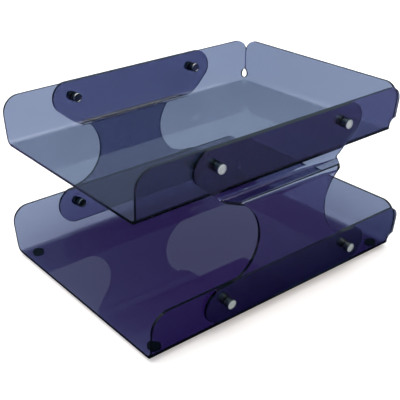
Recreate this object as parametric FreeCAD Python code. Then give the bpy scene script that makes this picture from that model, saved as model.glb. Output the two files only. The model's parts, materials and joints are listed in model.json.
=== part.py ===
import FreeCAD, Part
import math
import os

# A two-tier letter tray in tinted acrylic sheet, in millimetres.
# Two open-fronted trays are held one above the other by two joggled side brackets,
# eight through bolts with a cap on each end, and four feet.
# +Z is up, the open front faces -Y, and the right-hand side is +X.

# --- Driving dimensions -------------------------------------------------------------

SHEET = 3.2                  # thickness of the acrylic sheet, trays and brackets alike
UPPER_WIDTH = 254.0          # across the upper tray's outer faces, at its underside
LOWER_WIDTH = 277.0          # the same for the lower tray
TRAY_LENGTH = 350.0          # front edge to the outer face of the back wall, at the underside
WALL_HEIGHT = 54.0           # underside of a tray to the top of its walls
TRAY_PITCH = 141.5           # underside of the lower tray to the underside of the upper one

UPPER_SIDE_LEAN = 3.7        # degrees the side walls lean out
UPPER_BACK_LEAN = 5.5        # degrees the back wall leans back
LOWER_SIDE_LEAN = 7.0
LOWER_BACK_LEAN = 1.5

BEND_RADIUS = 9.0            # outside radius of the folds along the tray walls
FRONT_ROUND = 20.0           # rounded top corner at a side wall's open end
BACK_ROUND = 17.0            # rounded top corners either side of a back slit
RELIEF_RADIUS = 8.0          # round relief at the foot of each back slit
SLIT = 0.5                   # gap between the back wall's end and a side wall

BRACKET_BEND = 2.5           # inside radius of the bracket's folds
LEDGE_GAP = 3.5              # upper tray's underside to the top of the bracket's ledge
WAIST = 91.0                 # width of the bracket at its waist
LOWER_PANEL_DROP = 11.0      # bottom edge of the bracket, above the lower tray's underside
PANEL_HALF_LENGTH = 113.0    # middle of the bracket to the end of either panel
UPPER_END_RADIUS = 19.5      # rounded end of the bracket's upper panel
PANEL_SLOPE = 48.0           # degrees the upper panel's lower corners are cut back

BOLT_INSET = 27.0            # bolt from the end of the bracket's panel
BOLT_HEIGHT = 35.0           # bolt above the tray's underside
STUD_DIAMETER = 5.0
CAP_DIAMETER = 11.0
CAP_LENGTH = 6.5
CAP_CHAMFER = 0.6
CAP_DISH_DIAMETER = 8.4
CAP_DISH_DEPTH = 0.3
THREAD_DEPTH = 4.5           # how far the stud goes into each cap
WASHER_DIAMETER = 10.0
WASHER_THICKNESS = 0.8

FOOT_DIAMETER = 13.0
FOOT_HEIGHT = 4.0
FOOT_ROUND = 0.8
FOOT_SIDE_INSET = 19.5       # foot's middle from the lower tray's side
FOOT_END_INSET = 16.0        # foot's middle from the lower tray's front and back

# --- Named clearances ---------------------------------------------------------------

SHEET_GAP = 0.1              # between a tray's wall and the bracket's panel against it
STUD_CLEARANCE = 0.3         # around the stud, in the sheets' holes and the washers
THREAD_CLEARANCE = 0.05      # around the stud, in a cap
MARGIN = 40.0                # how far a cutting solid runs past what it cuts

# --- What follows from them ---------------------------------------------------------

LOWER_BASE = FOOT_HEIGHT
UPPER_BASE = FOOT_HEIGHT + TRAY_PITCH
BACK_OVERHANG = WALL_HEIGHT * max(math.tan(math.radians(UPPER_BACK_LEAN)),
                                  math.tan(math.radians(LOWER_BACK_LEAN)))
LEDGE_UNDER = UPPER_BASE - LEDGE_GAP - SHEET
NOTCH_RADIUS = TRAY_PITCH / 2 - WALL_HEIGHT / 2
NOTCH_Y = WAIST / 2 + NOTCH_RADIUS
SLOPE = math.radians(PANEL_SLOPE)
SLOPE_TOP = UPPER_BASE + WALL_HEIGHT - UPPER_END_RADIUS * (1 + math.tan(SLOPE / 2))
TRAYS = {
    "upper": (UPPER_WIDTH, UPPER_BASE, math.radians(UPPER_SIDE_LEAN), math.radians(UPPER_BACK_LEAN)),
    "lower": (LOWER_WIDTH, LOWER_BASE, math.radians(LOWER_SIDE_LEAN), math.radians(LOWER_BACK_LEAN)),
}


# --- Outlines and prisms ------------------------------------------------------------

def rounded_outline(corners):
    """Edges of a closed outline, from (u, v, radius) corners, in the u-v plane."""
    count = len(corners)
    pieces = []
    for i in range(count):
        before = FreeCAD.Vector(*corners[i - 1][:2], 0)
        corner = FreeCAD.Vector(*corners[i][:2], 0)
        after = FreeCAD.Vector(*corners[(i + 1) % count][:2], 0)
        radius = corners[i][2]
        if radius == 0:
            pieces.append((corner, None, corner))
            continue
        to_before = (before - corner).normalize()
        to_after = (after - corner).normalize()
        half_angle = to_before.getAngle(to_after) / 2
        reach = radius / math.tan(half_angle)
        bisector = (to_before + to_after).normalize()
        middle = corner + bisector * (radius / math.sin(half_angle) - radius)
        pieces.append((corner + to_before * reach, middle, corner + to_after * reach))
    edges = []
    for i in range(count):
        start, middle, end = pieces[i]
        if middle is not None:
            edges.append(Part.Arc(start, middle, end).toShape())
        following = pieces[(i + 1) % count][0]
        if (following - end).Length > 1e-6:
            edges.append(Part.LineSegment(end, following).toShape())
    return edges


def prism(corners, plane, start, end):
    """Solid of an outline, extruded across its plane from start to end."""
    face = Part.Face(Part.Wire(rounded_outline(corners)))
    solid = face.extrude(FreeCAD.Vector(0, 0, end - start))
    solid.translate(FreeCAD.Vector(0, 0, start))
    axes = {"XY": ((1, 0, 0), (0, 1, 0)), "YZ": ((0, 1, 0), (0, 0, 1)), "XZ": ((1, 0, 0), (0, 0, 1))}
    u = FreeCAD.Vector(*axes[plane][0])
    v = FreeCAD.Vector(*axes[plane][1])
    if plane == "XZ":
        solid.translate(FreeCAD.Vector(0, 0, -start - end))
    normal = u.cross(v)
    solid.Placement = FreeCAD.Placement(FreeCAD.Matrix(
        u.x, v.x, normal.x, 0,
        u.y, v.y, normal.y, 0,
        u.z, v.z, normal.z, 0,
        0, 0, 0, 1)) * solid.Placement
    return solid


def rod(centre, direction, diameter, start, end):
    """Cylinder about a line through centre, between two distances along it."""
    return Part.makeCylinder(diameter / 2, end - start, centre + direction * start, direction)


def mirrored(solid):
    """The left-hand copy of a right-hand solid."""
    return solid.mirror(FreeCAD.Vector(0, 0, 0), FreeCAD.Vector(1, 0, 0))


# --- Trays --------------------------------------------------------------------------

def wall_line(half_span, lean, height, inset=0.0):
    """How far out a leaning wall's outer face is at a height, less an inset square to it."""
    return half_span + height * math.tan(lean) - inset / math.cos(lean)


def make_tray(level):
    width, base, side_lean, back_lean = TRAYS[level]
    half_width = width / 2
    half_length = TRAY_LENGTH / 2
    top = base + WALL_HEIGHT
    above = WALL_HEIGHT + MARGIN

    def across(inset, height, bend, top_round=0.0):
        """Outline seen from the front, between the two side walls."""
        foot = wall_line(half_width, side_lean, inset, inset)
        head = wall_line(half_width, side_lean, height, inset)
        return [(-foot, base + inset, bend), (foot, base + inset, bend),
                (head, base + height, top_round), (-head, base + height, top_round)]

    def along(inset, height, bend, front, front_round=0.0, back_round=0.0):
        """Outline seen from the side, from a front line to the back wall."""
        foot = wall_line(half_length, back_lean, inset, inset)
        head = wall_line(half_length, back_lean, height, inset)
        return [(front, base + inset, 0.0), (foot, base + inset, bend),
                (head, base + height, back_round), (front, base + height, front_round)]

    reach = half_length + BACK_OVERHANG + MARGIN
    span = half_width + MARGIN
    outer = prism(across(0.0, WALL_HEIGHT, BEND_RADIUS), "XZ", -half_length, reach)
    outer = outer.common(prism(along(0.0, WALL_HEIGHT, BEND_RADIUS, -half_length), "YZ", -span, span))
    inside_bend = BEND_RADIUS - SHEET
    hollow = prism(across(SHEET, above, inside_bend), "XZ", -reach, reach)
    hollow = hollow.common(prism(along(SHEET, above, inside_bend, -reach), "YZ", -span, span))
    tray = outer.cut(hollow)

    # Rounded top corners of the side walls, cut outside their inner faces.
    between_walls = prism(across(SHEET, above, 0.0), "XZ", -reach, reach)
    side_outline = prism(along(0.0, WALL_HEIGHT, 0.0, -half_length, FRONT_ROUND, BACK_ROUND),
                         "YZ", -span, span)
    corner_height = max(FRONT_ROUND, BACK_ROUND) + 1.0
    upper_band = Part.makeBox(2 * span, 2 * reach, corner_height + MARGIN,
                              FreeCAD.Vector(-span, -reach, top - corner_height))
    tray = tray.cut(upper_band.cut(side_outline).cut(between_walls))

    # The back wall's rounded top corners, and the slit that parts it from each side wall.
    back_outline = prism(across(SHEET + SLIT, WALL_HEIGHT, 0.0, BACK_ROUND), "XZ", 0, reach)
    relief_height = base + RELIEF_RADIUS
    back_band = Part.makeBox(2 * span, reach - half_length + BEND_RADIUS, above,
                             FreeCAD.Vector(-span, half_length - BEND_RADIUS, relief_height))
    tray = tray.cut(back_band.common(between_walls).cut(back_outline))

    for sign in (-1, 1):
        corner = FreeCAD.Vector(sign * wall_line(half_width, side_lean, RELIEF_RADIUS),
                                wall_line(half_length, back_lean, RELIEF_RADIUS),
                                relief_height)
        tray = tray.cut(Part.makeSphere(RELIEF_RADIUS, corner))
        for bolt in bolt_positions(sign, level):
            tray = tray.cut(stud_hole(bolt))
    return tray


# --- Bolts --------------------------------------------------------------------------

def bolt_positions(sign, level):
    """Each bolt of one panel: the point on the wall's outer face, and its outward direction."""
    width, base, side_lean, _ = TRAYS[level]
    outward = FreeCAD.Vector(sign * math.cos(side_lean), 0, -math.sin(side_lean))
    x = sign * wall_line(width / 2, side_lean, BOLT_HEIGHT)
    y = PANEL_HALF_LENGTH - BOLT_INSET
    return [(FreeCAD.Vector(x, front_or_back, base + BOLT_HEIGHT), outward) for front_or_back in (-y, y)]


def stud_hole(bolt):
    point, outward = bolt
    return rod(point, outward, STUD_DIAMETER + 2 * STUD_CLEARANCE, -2 * SHEET, 2 * SHEET)


def make_washer(point, outward):
    """Clear washer on a sheet's face, at point."""
    disc = rod(point, outward, WASHER_DIAMETER, 0, WASHER_THICKNESS)
    return disc.cut(rod(point, outward, STUD_DIAMETER + 2 * STUD_CLEARANCE, 0, WASHER_THICKNESS))


def make_cap(point, outward):
    """Round cap with a blind threaded bore and a shallow dish in its end."""
    seat = point + outward * WASHER_THICKNESS
    radius = CAP_DIAMETER / 2
    profile = [(0, 0), (radius, 0), (radius, CAP_LENGTH - CAP_CHAMFER), (radius - CAP_CHAMFER, CAP_LENGTH),
               (CAP_DISH_DIAMETER / 2, CAP_LENGTH),
               (CAP_DISH_DIAMETER / 2 - CAP_DISH_DEPTH, CAP_LENGTH - CAP_DISH_DEPTH),
               (0, CAP_LENGTH - CAP_DISH_DEPTH)]
    points = [FreeCAD.Vector(r, 0, h) for r, h in profile]
    face = Part.Face(Part.makePolygon(points + points[:1]))
    cap = face.revolve(FreeCAD.Vector(0, 0, 0), FreeCAD.Vector(0, 0, 1), 360)
    turn = FreeCAD.Rotation(FreeCAD.Vector(0, 0, 1), outward)
    cap.Placement = FreeCAD.Placement(seat, turn)
    return cap.cut(rod(seat, outward, STUD_DIAMETER + 2 * THREAD_CLEARANCE, 0, THREAD_DEPTH))


def make_fastening(bolt):
    """The five pieces of one bolt, outside to inside."""
    point, outward = bolt
    inward = outward * -1
    outer_face = point + outward * (SHEET_GAP + SHEET)
    inner_face = point + inward * SHEET
    stud_reach = SHEET + WASHER_THICKNESS + THREAD_DEPTH
    return {
        "outer_cap": make_cap(outer_face, outward),
        "outer_washer": make_washer(outer_face, outward),
        "stud": rod(point, outward, STUD_DIAMETER, -stud_reach, SHEET_GAP + stud_reach),
        "inner_washer": make_washer(inner_face, inward),
        "inner_cap": make_cap(inner_face, inward),
    }


# --- Brackets -----------------------------------------------------------------------

def offset_path(path, distance):
    """The path moved square to itself, to the left of its own direction."""
    lines = []
    for (x0, z0), (x1, z1) in zip(path, path[1:]):
        length = math.hypot(x1 - x0, z1 - z0)
        shift = (-(z1 - z0) / length * distance, (x1 - x0) / length * distance)
        lines.append(((x0 + shift[0], z0 + shift[1]), (x1 - x0, z1 - z0)))
    moved = [lines[0][0]]
    for (p, d), (q, e) in zip(lines, lines[1:]):
        along = ((q[0] - p[0]) * e[1] - (q[1] - p[1]) * e[0]) / (d[0] * e[1] - d[1] * e[0])
        moved.append((p[0] + d[0] * along, p[1] + d[1] * along))
    last_start, last_run = lines[-1]
    moved.append((last_start[0] + last_run[0], last_start[1] + last_run[1]))
    return moved


def bracket_silhouette(web_half_span, reach):
    """Everything inside the bracket's bow-tie outline, seen from the side."""
    upper_top = UPPER_BASE + WALL_HEIGHT
    lower_top = LOWER_BASE + WALL_HEIGHT
    lower_bottom = LOWER_BASE + LOWER_PANEL_DROP

    upper_corners = [
        (-PANEL_HALF_LENGTH, upper_top, UPPER_END_RADIUS),
        (PANEL_HALF_LENGTH, upper_top, UPPER_END_RADIUS),
        (PANEL_HALF_LENGTH, SLOPE_TOP, UPPER_END_RADIUS),
        (slope_half_span(LEDGE_UNDER), LEDGE_UNDER, 0.0),
        (-slope_half_span(LEDGE_UNDER), LEDGE_UNDER, 0.0),
        (-PANEL_HALF_LENGTH, SLOPE_TOP, UPPER_END_RADIUS),
    ]
    lower_round = (lower_top - lower_bottom) / 2
    lower_corners = [(y, z, lower_round) for y, z in (
        (-PANEL_HALF_LENGTH, lower_bottom), (PANEL_HALF_LENGTH, lower_bottom),
        (PANEL_HALF_LENGTH, lower_top), (-PANEL_HALF_LENGTH, lower_top))]
    web_corners = [(y, z, 0.0) for y, z in (
        (-web_half_span, lower_top - lower_round), (web_half_span, lower_top - lower_round),
        (web_half_span, LEDGE_UNDER), (-web_half_span, LEDGE_UNDER))]

    web = prism(web_corners, "YZ", 0, reach)
    for sign in (-1, 1):
        centre = FreeCAD.Vector(0, sign * NOTCH_Y, lower_top + NOTCH_RADIUS)
        web = web.cut(rod(centre, FreeCAD.Vector(1, 0, 0), 2 * NOTCH_RADIUS, -MARGIN, reach + MARGIN))
    upper = prism(upper_corners, "YZ", 0, reach)
    lower = prism(lower_corners, "YZ", 0, reach)
    return upper.fuse([web, lower])


def slope_half_span(z):
    """Half the length of the upper panel at a height, along the slope under its ends."""
    return PANEL_HALF_LENGTH - (SLOPE_TOP - z) * math.tan(SLOPE)


def notch_half_span(z):
    """Half the length of the web at a height, between the two round notches."""
    rise = z - (LOWER_BASE + WALL_HEIGHT + NOTCH_RADIUS)
    return NOTCH_Y - math.sqrt(NOTCH_RADIUS ** 2 - rise ** 2)


def make_right_bracket():
    upper_lean = TRAYS["upper"][2]
    lower_lean = TRAYS["lower"][2]
    web_x = wall_line(LOWER_WIDTH / 2, lower_lean, WALL_HEIGHT, -SHEET_GAP)

    # Section through the sheet, down the face that lies against the trays.
    near_face = [
        (wall_line(UPPER_WIDTH / 2, upper_lean, WALL_HEIGHT, -SHEET_GAP), UPPER_BASE + WALL_HEIGHT),
        (wall_line(UPPER_WIDTH / 2, upper_lean, LEDGE_UNDER - UPPER_BASE, -SHEET_GAP), LEDGE_UNDER),
        (web_x, LEDGE_UNDER),
        (web_x, LOWER_BASE + WALL_HEIGHT),
        (wall_line(LOWER_WIDTH / 2, lower_lean, LOWER_PANEL_DROP, -SHEET_GAP),
         LOWER_BASE + LOWER_PANEL_DROP),
    ]
    tight = BRACKET_BEND
    wide = BRACKET_BEND + SHEET
    far_face = offset_path(near_face, SHEET)
    near_corners = [(x, z, r) for (x, z), r in zip(near_face, (0, wide, tight, tight, 0))]
    far_corners = [(x, z, r) for (x, z), r in zip(far_face, (0, tight, wide, wide, 0))]
    bracket = prism(near_corners + far_corners[::-1], "XZ", -PANEL_HALF_LENGTH, PANEL_HALF_LENGTH)
    reach = web_x + MARGIN
    bracket = bracket.common(bracket_silhouette(NOTCH_Y, reach))

    # The ledge narrows from the upper panel to the web.
    inner_x = near_face[1][0] + SHEET
    outer_x = web_x + SHEET
    panel_half = slope_half_span(LEDGE_UNDER + SHEET)
    web_half = notch_half_span(LEDGE_UNDER)
    for sign in (-1, 1):
        beyond = sign * (PANEL_HALF_LENGTH + MARGIN)
        wedge = [(inner_x, sign * panel_half, 0.0), (outer_x, sign * web_half, 0.0),
                 (reach, sign * web_half, 0.0), (reach, beyond, 0.0), (inner_x, beyond, 0.0)]
        bracket = bracket.cut(prism(wedge, "XY", LEDGE_UNDER, LEDGE_UNDER + SHEET + BRACKET_BEND))

    for level in TRAYS:
        for bolt in bolt_positions(1, level):
            bracket = bracket.cut(stud_hole(bolt))
    return bracket


# --- Feet ---------------------------------------------------------------------------

def make_foot(x, y):
    foot = Part.makeCylinder(FOOT_DIAMETER / 2, FOOT_HEIGHT, FreeCAD.Vector(x, y, 0))
    lower_rim = [edge for edge in foot.Edges if abs(edge.CenterOfMass.z) < 1e-6]
    return foot.makeFillet(FOOT_ROUND, lower_rim[:1])


# --- Assembly -----------------------------------------------------------------------

def make_pieces():
    """Every piece by name, centred across the tray's length at the lower tray's underside."""
    pieces = {f"{level}_tray": make_tray(level) for level in TRAYS}
    right_bracket = make_right_bracket()
    pieces["right_bracket"] = right_bracket
    pieces["left_bracket"] = mirrored(right_bracket)
    for level in TRAYS:
        for end, bolt in zip(("front", "back"), bolt_positions(1, level)):
            for name, solid in make_fastening(bolt).items():
                pieces[f"{name}_right_{level}_{end}"] = solid
                pieces[f"{name}_left_{level}_{end}"] = mirrored(solid)
    foot_x = LOWER_WIDTH / 2 - FOOT_SIDE_INSET
    foot_y = TRAY_LENGTH / 2 - FOOT_END_INSET
    for side, x in (("left", -foot_x), ("right", foot_x)):
        for end, y in (("front", -foot_y), ("back", foot_y)):
            pieces[f"foot_{side}_{end}"] = make_foot(x, y)
    return pieces


os.makedirs("parts", exist_ok=True)
for name, solid in make_pieces().items():
    # The origin is under the middle of the whole object's box.
    solid.translate(FreeCAD.Vector(0, -BACK_OVERHANG / 2, 0))
    solid.exportStep(f"parts/{name}.step")
    print(f"{name}: {len(solid.Solids)} solid, valid {solid.isValid()}, {solid.Volume:.0f} mm3")
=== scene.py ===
import json
import math

import bpy
from mathutils import Matrix, Vector

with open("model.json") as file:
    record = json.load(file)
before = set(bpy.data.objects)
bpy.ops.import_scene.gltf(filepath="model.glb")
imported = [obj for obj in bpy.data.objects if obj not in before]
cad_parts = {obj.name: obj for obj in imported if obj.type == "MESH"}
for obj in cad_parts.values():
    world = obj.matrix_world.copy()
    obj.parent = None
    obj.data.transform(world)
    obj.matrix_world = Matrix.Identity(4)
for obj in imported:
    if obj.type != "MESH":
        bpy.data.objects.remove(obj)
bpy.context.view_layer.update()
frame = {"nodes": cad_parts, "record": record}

# --- Camera -------------------------------------------------------------------------

CAMERA_AZIMUTH = math.radians(52.25)      # from the open front, round towards the right-hand side
CAMERA_ELEVATION = math.radians(26.70)
CAMERA_ROLL = math.radians(-1.37)
CAMERA_DISTANCE = 0.9224                  # metres
CAMERA_TARGET = Vector((-0.0019, -0.0056, 0.0672))
CAMERA_LENS = 71.14                       # mm, on a 36 mm sensor

# --- Light --------------------------------------------------------------------------

SKY_STRENGTH = 2.7
SKY_BY_HEIGHT = [                         # sine of the height above the horizon, colour
    (0.00, (0.06, 0.065, 0.085)),
    (0.20, (0.07, 0.09, 0.115)),
    (0.45, (0.13, 0.17, 0.20)),
    (0.70, (0.17, 0.20, 0.23)),
    (0.84, (1.00, 1.00, 1.00)),
]
FLOOR_ALBEDO = 0.90
FLOOR_HALF_SIZE = 6.0                     # metres
FLOOR_PAINTED_REFLECTION = [                        # metres out to the side, colour of the floor's painted dark reflection in polished faces
    (0.15, (0.02, 0.03, 0.04)),
    (0.22, (0.16, 0.17, 0.31)),
    (0.40, (0.29, 0.25, 0.52)),
]
FLOOR_FILL = (0.36, 0.31, 0.27)           # glow that keeps the bare floor's shadow faint and neutral
FLOOR_THROUGH = (0.000, 0.014, 0.050)     # glow added for each face of tinted sheet in front
FLOOR_THROUGH_SQUARED = (0.030, 0.0, 0.028)  # and for that number squared: deep tint turns purple
FLOOR_THROUGH_FACES = 8.0                 # faces of sheet past which that glow grows no further

# --- Acrylic ------------------------------------------------------------------------

ACRYLIC_IOR = 1.49
ACRYLIC_DENSITY = 465.0                   # per metre, of the strongest absorbed colour
ACRYLIC_TINT = (0.01, 0.16, 0.31)         # what is left unabsorbed of red, green and blue

# --- Hardware -----------------------------------------------------------------------

CAP_HIGHLIGHT_EDGE = 0.0004                    # metres in from an end face's rim, over which its painted highlight fades
FOOT_WORN_EDGE = 0.0006
THREAD_RIDGES = 390.0                     # wave texture scale along the stud
SATIN_METALLIC = 0.30                     # of a cap's rubbed end face, which mirrors little


# --- Node helpers -------------------------------------------------------------------

def new_material(name):
    """An empty material with an output, and its node tree."""
    material = bpy.data.materials.new(name)
    material.use_nodes = True
    tree = material.node_tree
    tree.nodes.clear()
    return material, tree


def surface(tree, **inputs):
    """A Principled shader wired to the output."""
    shader = tree.nodes.new("ShaderNodeBsdfPrincipled")
    for name, value in inputs.items():
        shader.inputs[name.replace("_", " ")].default_value = value
    output = tree.nodes.new("ShaderNodeOutputMaterial")
    tree.links.new(shader.outputs["BSDF"], output.inputs["Surface"])
    return shader, output


def position(tree):
    """The point's place in the object's own frame, in metres."""
    return tree.nodes.new("ShaderNodeTexCoord").outputs["Object"]


def noise(tree, vector, scale, detail=2.0, roughness=0.5, factors=None):
    """Noise at a number of grains per metre, times a factor for each axis where they differ."""
    if factors is not None:
        mapping = tree.nodes.new("ShaderNodeMapping")
        mapping.inputs["Scale"].default_value = factors
        tree.links.new(vector, mapping.inputs["Vector"])
        vector = mapping.outputs["Vector"]
    node = tree.nodes.new("ShaderNodeTexNoise")
    node.inputs["Scale"].default_value = scale
    node.inputs["Detail"].default_value = detail
    node.inputs["Roughness"].default_value = roughness
    tree.links.new(vector, node.inputs["Vector"])
    return node.outputs["Fac"]


def remap(tree, value, low_in, high_in, low_out, high_out):
    """A value carried from one range to another, held at the ends."""
    node = tree.nodes.new("ShaderNodeMapRange")
    node.inputs["From Min"].default_value = low_in
    node.inputs["From Max"].default_value = high_in
    node.inputs["To Min"].default_value = low_out
    node.inputs["To Max"].default_value = high_out
    tree.links.new(value, node.inputs["Value"])
    return node.outputs["Result"]


def maths(tree, operation, first, second=0.0):
    """One step of arithmetic on two numbers or sockets."""
    node = tree.nodes.new("ShaderNodeMath")
    node.operation = operation
    for socket, value in zip(node.inputs, (first, second)):
        if isinstance(value, (int, float)):
            socket.default_value = value
        else:
            tree.links.new(value, socket)
    return node.outputs["Value"]


def bump(tree, shader, height, strength, distance):
    """Raises a shader's surface where the height is high."""
    node = tree.nodes.new("ShaderNodeBump")
    node.inputs["Strength"].default_value = strength
    node.inputs["Distance"].default_value = distance
    tree.links.new(height, node.inputs["Height"])
    tree.links.new(node.outputs["Normal"], shader.inputs["Normal"])


def colour_ramp(tree, value, stops):
    """A colour for each value, blended between stops of (value, colour)."""
    node = tree.nodes.new("ShaderNodeValToRGB")
    ramp = node.color_ramp
    for element, (place, colour) in zip(ramp.elements, (stops[0], stops[-1])):
        element.position = place
        element.color = (*colour, 1.0)
    for place, colour in stops[1:-1]:
        ramp.elements.new(place).color = (*colour, 1.0)
    tree.links.new(value, node.inputs["Fac"])
    return node.outputs["Color"]


# --- Materials ----------------------------------------------------------------------

def edge_mask(tree, radius):
    """1 on the sharp edges of the piece, falling to 0 a radius away from them."""
    bevel = tree.nodes.new("ShaderNodeBevel")
    bevel.samples = 4
    bevel.inputs["Radius"].default_value = radius
    plain = tree.nodes.new("ShaderNodeNewGeometry")
    dot = tree.nodes.new("ShaderNodeVectorMath")
    dot.operation = "DOT_PRODUCT"
    tree.links.new(bevel.outputs["Normal"], dot.inputs[0])
    tree.links.new(plain.outputs["Normal"], dot.inputs[1])
    return remap(tree, dot.outputs["Value"], 0.999, 0.90, 0.0, 1.0)


def acrylic(name):
    """Polished sheet, tinted in its depth, with faint smears, hairline scratches and a slight waviness."""
    material, tree = new_material(name)
    shader, output = surface(tree, Base_Color=(1, 1, 1, 1), IOR=ACRYLIC_IOR, Transmission_Weight=1.0)
    place = position(tree)
    smear = noise(tree, place, 22, detail=3.0, roughness=0.6)
    scratch = noise(tree, place, 900, detail=2.0, roughness=0.5, factors=(1.0, 0.04, 1.0))
    rough = maths(tree, "ADD", remap(tree, smear, 0.50, 0.85, 0.0, 0.012),
                  remap(tree, scratch, 0.69, 0.75, 0.0, 0.04))
    tree.links.new(rough, shader.inputs["Roughness"])
    bump(tree, shader, noise(tree, place, 30, detail=1.0), 0.02, 0.001)
    absorb = tree.nodes.new("ShaderNodeVolumeAbsorption")
    absorb.inputs["Color"].default_value = (*ACRYLIC_TINT, 1.0)
    absorb.inputs["Density"].default_value = ACRYLIC_DENSITY
    tree.links.new(absorb.outputs["Volume"], output.inputs["Volume"])
    return material


def turned_metal(name, satin_end_painted_lit=True):
    """Turned metal: polished sides darkened as painted shade, an end face rubbed to satin and lightened as
    painted light, a cloudy finish and a painted highlight on the end face's rims.
    """
    material, tree = new_material(name)
    shader, output = surface(tree, Metallic=1.0)
    place = position(tree)
    cloud = noise(tree, place, 260, detail=3.0, roughness=0.6)
    grain = noise(tree, place, 5200, detail=2.0, roughness=0.6)
    tone = maths(tree, "MULTIPLY", cloud, 0.5)
    rough = remap(tree, cloud, 0.3, 0.7, 0.08, 0.16)
    if satin_end_painted_lit:
        facing = tree.nodes.new("ShaderNodeSeparateXYZ")
        tree.links.new(tree.nodes.new("ShaderNodeNewGeometry").outputs["Normal"], facing.inputs["Vector"])
        end = remap(tree, maths(tree, "ABSOLUTE", facing.outputs["X"]), 0.75, 0.95, 0.0, 1.0)
        rough = maths(tree, "ADD", rough, maths(tree, "MULTIPLY", end, 0.24))
        tree.links.new(remap(tree, end, 0.0, 1.0, 1.0, SATIN_METALLIC), shader.inputs["Metallic"])
        # rim: a painted highlight along the end face's rims
        rim = maths(tree, "MULTIPLY", edge_mask(tree, CAP_HIGHLIGHT_EDGE), 0.45)
        # the end face is lightened by 0.25 as painted light, and its rims by the painted highlight
        tone = maths(tree, "ADD", tone, maths(tree, "MULTIPLY", end, maths(tree, "ADD", rim, 0.25)))
    # dark greys for the sides as painted shade, light greys for the painted-lit end face; the cloud varies
    # both at random
    colour = colour_ramp(tree, tone, [(0.15, (0.26, 0.26, 0.26)), (0.35, (0.40, 0.40, 0.39)),
                                      (0.55, (0.58, 0.60, 0.50)), (0.85, (0.93, 0.93, 0.88))])
    tree.links.new(colour, shader.inputs["Base Color"])
    tree.links.new(rough, shader.inputs["Roughness"])
    bump(tree, shader, grain, 0.12, 0.00008)
    return material


def threaded_metal(name):
    """Plain zinc-grey steel with thread ridges across the stud's axis."""
    material, tree = new_material(name)
    shader, output = surface(tree, Metallic=1.0)
    place = position(tree)
    ridges = tree.nodes.new("ShaderNodeTexWave")
    ridges.bands_direction = "X"
    ridges.inputs["Scale"].default_value = THREAD_RIDGES
    ridges.inputs["Distortion"].default_value = 0.0
    tree.links.new(place, ridges.inputs["Vector"])
    cloud = noise(tree, place, 400, detail=2.0)
    colour = colour_ramp(tree, cloud, [(0.3, (0.42, 0.42, 0.42)), (0.7, (0.58, 0.57, 0.56))])
    tree.links.new(colour, shader.inputs["Base Color"])
    tree.links.new(remap(tree, cloud, 0.3, 0.7, 0.28, 0.45), shader.inputs["Roughness"])
    bump(tree, shader, ridges.outputs["Fac"], 0.6, 0.0003)
    return material


def clear_plastic(name):
    """Milky clear washer plastic with a moulded, slightly uneven face."""
    material, tree = new_material(name)
    shader, output = surface(tree, Base_Color=(0.92, 0.94, 0.95, 1), IOR=1.5, Transmission_Weight=1.0)
    place = position(tree)
    cloud = noise(tree, place, 500, detail=3.0)
    tree.links.new(remap(tree, cloud, 0.3, 0.7, 0.12, 0.30), shader.inputs["Roughness"])
    bump(tree, shader, cloud, 0.1, 0.0002)
    return material


def black_rubber(name):
    """Moulded black rubber with a fine pebbled skin, paler where its rim is rubbed."""
    material, tree = new_material(name)
    shader, output = surface(tree)
    place = position(tree)
    cloud = noise(tree, place, 300, detail=3.0)
    pebble = noise(tree, place, 2600, detail=2.0, roughness=0.6)
    edge = edge_mask(tree, FOOT_WORN_EDGE)
    tone = maths(tree, "ADD", cloud, maths(tree, "MULTIPLY", edge, 0.35))
    colour = colour_ramp(tree, tone, [(0.3, (0.005, 0.005, 0.006)), (0.7, (0.012, 0.012, 0.013)),
                                      (1.0, (0.04, 0.04, 0.041))])
    tree.links.new(colour, shader.inputs["Base Color"])
    tree.links.new(remap(tree, pebble, 0.3, 0.7, 0.55, 0.8), shader.inputs["Roughness"])
    bump(tree, shader, pebble, 0.35, 0.0002)
    return material


def dress_nodes():
    """Gives every CAD node the material of its record slot, but inner caps are polished all over and their
    end faces get no painted light, so they stay dark as painted shade.
    """
    makers = {
        "upper_tray_acrylic": acrylic,
        "lower_tray_acrylic": acrylic,
        "bracket_acrylic": acrylic,
        "cap_metal": turned_metal,
        "stud_metal": threaded_metal,
        "washer_plastic": clear_plastic,
        "foot_rubber": black_rubber,
    }
    made = {slot: make(slot) for slot, make in makers.items()}
    # inner caps: a shaded copy of the cap metal, with no painted light on their end faces
    inner_cap_metal = turned_metal("inner_cap_metal", satin_end_painted_lit=False)
    for part in frame["record"]["subparts"]:
        inner_cap = part["node"].startswith("inner_cap")
        for slot in frame["nodes"][part["node"]].material_slots:
            slot.material = inner_cap_metal if inner_cap else made[part["material_slot"]]


# --- Studio -------------------------------------------------------------------------

def light_through(tree, paths):
    """Purple glow that grows with the tinted faces in front, and a fill where the floor is bare."""
    faces = maths(tree, "MINIMUM", paths.outputs["Transmission Depth"], FLOOR_THROUGH_FACES)
    faces_squared = maths(tree, "POWER", faces, 2.0)
    bare = maths(tree, "MULTIPLY", maths(tree, "LESS_THAN", faces, 0.5), paths.outputs["Is Camera Ray"])
    glow = tree.nodes.new("ShaderNodeCombineXYZ")
    channels = zip(glow.inputs, FLOOR_THROUGH, FLOOR_THROUGH_SQUARED, FLOOR_FILL)
    for channel, linear, squared, fill in channels:
        through = maths(tree, "ADD", maths(tree, "MULTIPLY", faces, linear),
                        maths(tree, "MULTIPLY", faces_squared, squared))
        tree.links.new(maths(tree, "ADD", through, maths(tree, "MULTIPLY", bare, fill)), channel)
    return glow.outputs["Vector"]


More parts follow.
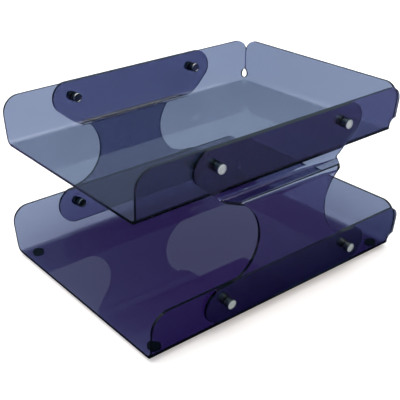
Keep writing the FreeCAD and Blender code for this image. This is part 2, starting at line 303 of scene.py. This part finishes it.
def floor_card():
    """Pale card, which polished faces mirror as a painted dark reflection beside the object."""
    material, tree = new_material("floor_card")
    shader, output = surface(tree, Roughness=0.9, Specular_IOR_Level=0.0, Emission_Strength=1.0)
    shader.inputs["Base Color"].default_value = (FLOOR_ALBEDO, FLOOR_ALBEDO, FLOOR_ALBEDO, 1)
    paths = tree.nodes.new("ShaderNodeLightPath")
    tree.links.new(light_through(tree, paths), shader.inputs["Emission Color"])

    across = tree.nodes.new("ShaderNodeSeparateXYZ")
    tree.links.new(position(tree), across.inputs["Vector"])
    aside = maths(tree, "ABSOLUTE", across.outputs["X"])
    painted_reflection = tree.nodes.new("ShaderNodeBsdfDiffuse")
    tree.links.new(colour_ramp(tree, aside, FLOOR_PAINTED_REFLECTION), painted_reflection.inputs["Color"])
    # glossy rays see the painted dark reflection instead of the pale card
    mix = tree.nodes.new("ShaderNodeMixShader")
    tree.links.new(maths(tree, "MINIMUM", paths.outputs["Glossy Depth"], 1.0), mix.inputs["Fac"])
    tree.links.new(shader.outputs["BSDF"], mix.inputs[1])
    tree.links.new(painted_reflection.outputs["BSDF"], mix.inputs[2])
    tree.links.new(mix.outputs["Shader"], output.inputs["Surface"])
    return material


def make_floor():
    """A flat stretch of card under the object."""
    mesh = bpy.data.meshes.new("floor")
    size = FLOOR_HALF_SIZE
    corners = [(-size, -size, 0), (size, -size, 0), (size, size, 0), (-size, size, 0)]
    mesh.from_pydata(corners, [], [(0, 1, 2, 3)])
    mesh.materials.append(floor_card())
    floor = bpy.data.objects.new("floor", mesh)
    bpy.context.scene.collection.objects.link(floor)


def make_sky():
    """A bright white ceiling over dim blue-grey walls."""
    world = bpy.data.worlds.new("studio")
    bpy.context.scene.world = world
    world.use_nodes = True
    tree = world.node_tree
    background = tree.nodes["Background"]
    background.inputs["Strength"].default_value = SKY_STRENGTH
    direction = tree.nodes.new("ShaderNodeSeparateXYZ")
    tree.links.new(tree.nodes.new("ShaderNodeTexCoord").outputs["Generated"], direction.inputs["Vector"])
    tree.links.new(colour_ramp(tree, direction.outputs["Z"], SKY_BY_HEIGHT), background.inputs["Color"])


def make_camera():
    """A long lens at the front right, looking down."""
    data = bpy.data.cameras.new("camera")
    data.lens = CAMERA_LENS
    data.sensor_width = 36.0
    data.clip_start = 0.05
    camera = bpy.data.objects.new("camera", data)
    bpy.context.scene.collection.objects.link(camera)
    back = Vector((math.sin(CAMERA_AZIMUTH) * math.cos(CAMERA_ELEVATION),
                   -math.cos(CAMERA_AZIMUTH) * math.cos(CAMERA_ELEVATION),
                   math.sin(CAMERA_ELEVATION)))
    level = (-back).to_track_quat("-Z", "Y").to_matrix()
    turn = level @ Matrix.Rotation(CAMERA_ROLL, 3, "Z")
    camera.matrix_world = Matrix.Translation(CAMERA_TARGET + back * CAMERA_DISTANCE) @ turn.to_4x4()
    bpy.context.scene.camera = camera


def set_light_paths():
    """Enough bounces for light to cross several sheets, and colours shown as they are."""
    scene = bpy.context.scene
    scene.view_settings.view_transform = "Standard"
    scene.cycles.max_bounces = 32
    scene.cycles.transmission_bounces = 32
    scene.cycles.glossy_bounces = 12
    scene.cycles.diffuse_bounces = 4


dress_nodes()
make_floor()
make_sky()
make_camera()
set_light_paths()
